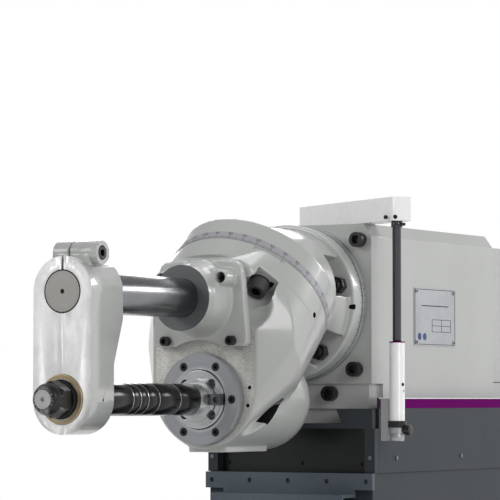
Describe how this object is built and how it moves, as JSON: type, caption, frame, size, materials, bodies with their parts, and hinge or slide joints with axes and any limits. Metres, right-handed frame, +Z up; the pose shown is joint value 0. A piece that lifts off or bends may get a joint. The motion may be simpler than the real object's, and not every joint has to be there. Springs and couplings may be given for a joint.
{
  "type": "universal milling machine",
  "caption": "Universal knee-type milling machine with a swivelling table, a sliding ram and a double-swivel head set for horizontal milling with overarm and arbor.",
  "frame": {"origin": "on the floor under the spindle axis, in the plane of the column's front face", "axes": "+Z up, -Y towards the operator along the horizontal spindle, +X towards the operator's right"},
  "size_m": [1.4006, 1.731, 1.7983],
  "materials": {
    "slate_paint": "satin",
    "grey_paint": "satin",
    "white_paint": "gloss",
    "black_paint": "matt",
    "raw_iron": "ground",
    "bright_steel": "ground",
    "black_steel": "oiled",
    "dark_steel": "turned",
    "alloy": "satin",
    "bronze": "turned",
    "red_plastic": "gloss",
    "green_plastic": "gloss",
    "black_plastic": "matt"
  },
  "bodies": {
    "root": {"base": "slate_paint", "column": "slate_paint", "side_panels": "slate_paint", "front_cover": "black_paint", "way_apron": "slate_paint", "base_nut": "raw_iron", "electrics": "black_plastic", "control_box": "grey_paint"},
    "main_switch": {"main_switch": "red_plastic"},
    "start_button": {"start_button": "green_plastic"},
    "stop_button": {"stop_button": "red_plastic"},
    "rear_door": {"rear_door": "slate_paint"},
    "door_latch": {"door_latch": "black_steel"},
    "knee": {"knee": "slate_paint"},
    "knee_screw": {"knee_screw": "dark_steel"},
    "knee_crank": {"knee_crank": "bright_steel"},
    "knee_lock": {"knee_lock": "black_steel"},
    "saddle": {"saddle": "grey_paint"},
    "saddle_screw": {"saddle_screw": "dark_steel", "saddle_wheel": "bright_steel"},
    "swivel": {"swivel_base": "grey_paint"},
    "table": {"table": "raw_iron", "table_brackets": "grey_paint"},
    "table_screw": {"table_screw": "dark_steel", "table_wheels": "bright_steel"},
    "table_lock": {"table_lock": "black_steel"},
    "ram": {"ram": "grey_paint", "ram_plate": "grey_paint", "ram_ring": "alloy", "ram_screws": "black_steel", "nameplate": "alloy", "gearbox": "grey_paint", "motor": "black_paint"},
    "speed_lever": {"speed_lever": "black_steel"},
    "motor_rotor": {"motor_rotor": "bright_steel"},
    "drive_shaft": {"drive_shaft": "bright_steel"},
    "ram_crank": {"ram_crank": "bright_steel"},
    "rear_swivel": {"rear_swivel": "grey_paint", "swivel_nuts": "black_steel"},
    "head": {"head_casting": "grey_paint", "head_screws": "black_steel", "bearing_cover": "bright_steel", "overarm_bracket": "grey_paint", "overarm_bar": "bright_steel", "spindle_bearings": "bright_steel"},
    "slant_shaft": {"slant_shaft": "bright_steel"},
    "counter_shaft": {"counter_shaft": "bright_steel"},
    "spindle": {"spindle": "bright_steel", "drive_keys": "dark_steel", "arbor": "dark_steel", "spacers": "black_steel", "arbor_nut": "black_steel"},
    "support": {"arbor_support": "grey_paint", "support_bush": "bronze", "support_screw": "black_steel"},
    "guard": {"guard_arm": "white_paint", "guard_rod": "black_steel"},
    "guard_slide": {"guard_tube": "white_paint", "guard_plate": "alloy"},
    "guard_knob": {"guard_knob": "black_plastic"}
  },
  "joints": [
    {"name": "knee_slide", "type": "slide", "parent": "root", "child": "knee", "axis": [0, 0, -1], "range_m": [-0.31, 0.06]},
    {"name": "knee_screw_turn", "type": "hinge", "parent": "knee", "child": "knee_screw", "pos_m": [0, -0.25, 0.7], "axis": [0, 0, -1], "range_deg": [-18610, 3610]},
    {"name": "knee_crank_turn", "type": "hinge", "parent": "knee", "child": "knee_crank", "pos_m": [0, -0.5, 0.6244], "axis": [0, -1, 0], "range_deg": [-18600, 3600]},
    {"name": "knee_lock_turn", "type": "hinge", "parent": "knee", "child": "knee_lock", "pos_m": [0.165, -0.022, 0.7094], "axis": [1, 0, 0], "range_deg": [-30, 30]},
    {"name": "saddle_slide", "type": "slide", "parent": "knee", "child": "saddle", "axis": [0, -1, 0], "range_m": [0, 0.25]},
    {"name": "saddle_screw_turn", "type": "hinge", "parent": "knee", "child": "saddle_screw", "pos_m": [0, -0.5, 0.8244], "axis": [0, -1, 0], "range_deg": [0, 18000]},
    {"name": "table_swivel", "type": "hinge", "parent": "saddle", "child": "swivel", "pos_m": [0, -0.29, 0.94], "axis": [0, 0, 1], "range_deg": [-35, 35]},
    {"name": "table_slide", "type": "slide", "parent": "swivel", "child": "table", "axis": [1, 0, 0], "range_m": [-0.3, 0.3]},
    {"name": "table_screw_turn", "type": "hinge", "parent": "table", "child": "table_screw", "pos_m": [0, -0.29, 0.992], "axis": [1, 0, 0], "range_deg": [-21600, 21600]},
    {"name": "table_lock_turn", "type": "hinge", "parent": "swivel", "child": "table_lock", "pos_m": [0.15, -0.43, 0.9737], "axis": [0, 1, 0], "range_deg": [-25, 25]},
    {"name": "ram_slide", "type": "slide", "parent": "root", "child": "ram", "axis": [0, -1, 0], "range_m": [0, 0.4]},
    {"name": "ram_crank_turn", "type": "hinge", "parent": "root", "child": "ram_crank", "pos_m": [-0.12, 0.2, 1.422], "axis": [1, 0, 0], "range_deg": [-5, 1180]},
    {"name": "speed_lever_turn", "type": "hinge", "parent": "ram", "child": "speed_lever", "pos_m": [-0.118, 0.511, 1.68], "axis": [1, 0, 0], "range_deg": [-40, 40]},
    {"name": "motor_spin", "type": "hinge", "parent": "ram", "child": "motor_rotor", "pos_m": [0, 0.7, 1.57], "axis": [0, 1, 0], "continuous": true},
    {"name": "drive_spin", "type": "hinge", "parent": "ram", "child": "drive_shaft", "pos_m": [0, 0.3, 1.634], "axis": [0, 1, 0], "continuous": true},
    {"name": "rear_swivel_turn", "type": "hinge", "parent": "ram", "child": "rear_swivel", "pos_m": [0, 0, 1.634], "axis": [0, 1, 0], "range_deg": [-90, 90]},
    {"name": "head_swivel", "type": "hinge", "parent": "rear_swivel", "child": "head", "pos_m": [0, -0.1365, 1.634], "axis": [0, -0.7071, -0.7071], "range_deg": [0, 180]},
    {"name": "slant_spin", "type": "hinge", "parent": "head", "child": "slant_shaft", "pos_m": [0, -0.1365, 1.634], "axis": [0, -0.7071, -0.7071], "continuous": true},
    {"name": "counter_spin", "type": "hinge", "parent": "head", "child": "counter_shaft", "pos_m": [0, -0.2, 1.5925], "axis": [0, 1, 0], "continuous": true},
    {"name": "spindle_spin", "type": "hinge", "parent": "head", "child": "spindle", "pos_m": [0, -0.2, 1.48], "axis": [0, 1, 0], "continuous": true},
    {"name": "support_slide", "type": "slide", "parent": "head", "child": "support", "axis": [0, 1, 0], "range_m": [0, 0.2]},
    {"name": "guard_swing", "type": "hinge", "parent": "ram", "child": "guard", "pos_m": [-0.03, 0.135, 1.78], "axis": [0, 0, 1], "range_deg": [0, 60]},
    {"name": "guard_height", "type": "slide", "parent": "guard", "child": "guard_slide", "axis": [0, 0, -1], "range_m": [0, 0.1]},
    {"name": "guard_knob_turn", "type": "hinge", "parent": "guard_slide", "child": "guard_knob", "pos_m": [0.2, 0.008, 1.4325], "axis": [1, 0, 0], "range_deg": [0, 360]},
    {"name": "main_switch_turn", "type": "hinge", "parent": "root", "child": "main_switch", "pos_m": [-0.202, 0.11, 1.24], "axis": [0, 1, 0], "range_deg": [0, 90]},
    {"name": "start_press", "type": "slide", "parent": "root", "child": "start_button", "axis": [0, 1, 0], "range_m": [0, 0.006], "stiffness_N_per_m": 600},
    {"name": "stop_press", "type": "slide", "parent": "root", "child": "stop_button", "axis": [0, 1, 0], "range_m": [0, 0.006], "stiffness_N_per_m": 600},
    {"name": "door_swing", "type": "hinge", "parent": "root", "child": "rear_door", "pos_m": [0.142, 0.554, 0.75], "axis": [0, 0, -1], "range_deg": [0, 110]},
    {"name": "latch_turn", "type": "hinge", "parent": "rear_door", "child": "door_latch", "pos_m": [-0.105, 0.55, 0.76], "axis": [0, 1, 0], "range_deg": [0, 90]}
  ],
  "couplings": [
    {"joint": "knee_screw_turn", "follows": "knee_slide", "rad_per_m": 1047.2},
    {"joint": "knee_crank_turn", "follows": "knee_slide", "rad_per_m": 1047.2},
    {"joint": "saddle_screw_turn", "follows": "saddle_slide", "rad_per_m": 1256.6},
    {"joint": "table_screw_turn", "follows": "table_slide", "rad_per_m": 1256.6},
    {"joint": "ram_crank_turn", "follows": "ram_slide", "rad_per_m": 51.282},
    {"joint": "drive_spin", "follows": "motor_spin", "ratio": -0.33333},
    {"joint": "slant_spin", "follows": "motor_spin", "ratio": 0.33333},
    {"joint": "counter_spin", "follows": "motor_spin", "ratio": -0.33333},
    {"joint": "spindle_spin", "follows": "motor_spin", "ratio": 0.41667}
  ]
}
